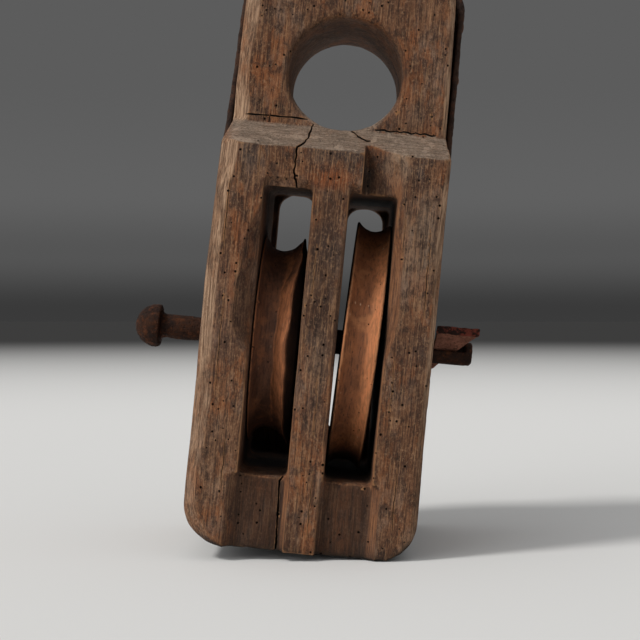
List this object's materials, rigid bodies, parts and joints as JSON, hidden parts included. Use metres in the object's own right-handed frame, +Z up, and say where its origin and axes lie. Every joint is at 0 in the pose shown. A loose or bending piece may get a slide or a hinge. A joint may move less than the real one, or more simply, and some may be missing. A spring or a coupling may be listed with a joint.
{
  "type": "double sheave block",
  "caption": "Carved wooden pulley block with side-by-side grooved wooden sheaves on an iron pin, a forelock wedge, an iron strap over the head and a rope hole through it.",
  "frame": {"origin": "centre of the rope hole through the head, at mid-depth", "axes": "+Z up along the block from its sheaves to its head, +X along the pin towards the wedge, +Y from the front face to the back"},
  "size_m": [0.3513, 0.256, 0.5846],
  "materials": {
    "block_wood": "old dry timber, grey-brown with orange patches, ridged grain, drying cracks and woodworm holes",
    "dark_sheave_wood": "brown turned wood, rope-worn and dull",
    "orange_sheave_wood": "warm orange-brown turned wood with small pale scratches",
    "rusty_iron": "forged iron with brown rust, rough and pitted",
    "wedge_iron": "forged iron with reddish-brown rust and a hammered dark edge",
    "strap_iron": "forged flat bar with dark brown scale and rust"
  },
  "bodies": {
    "shell": {"block_body": "block_wood", "iron_strap": "strap_iron", "leg_nails": "rusty_iron", "crown_nails": "rusty_iron"},
    "left_wheel": {"left_sheave": "dark_sheave_wood"},
    "right_wheel": {"right_sheave": "orange_sheave_wood"},
    "pin": {"sheave_pin": "rusty_iron"},
    "wedge": {"forelock_wedge": "wedge_iron"}
  },
  "joints": [
    {"name": "left_sheave_spin", "type": "hinge", "parent": "shell", "child": "left_wheel", "pos_m": [-0.0449, 0, -0.267], "axis": [1, 0, 0], "continuous": true},
    {"name": "right_sheave_spin", "type": "hinge", "parent": "shell", "child": "right_wheel", "pos_m": [0.038, 0, -0.2648], "axis": [0.9991, 0, -0.0419], "continuous": true},
    {"name": "pin_slide", "type": "slide", "parent": "shell", "child": "pin", "axis": [1, 0, 0], "range_m": [0, 0.043]},
    {"name": "wedge_draw", "type": "slide", "parent": "pin", "child": "wedge", "axis": [0, -0.829, 0.5592], "range_m": [0, 0.05]}
  ]
}
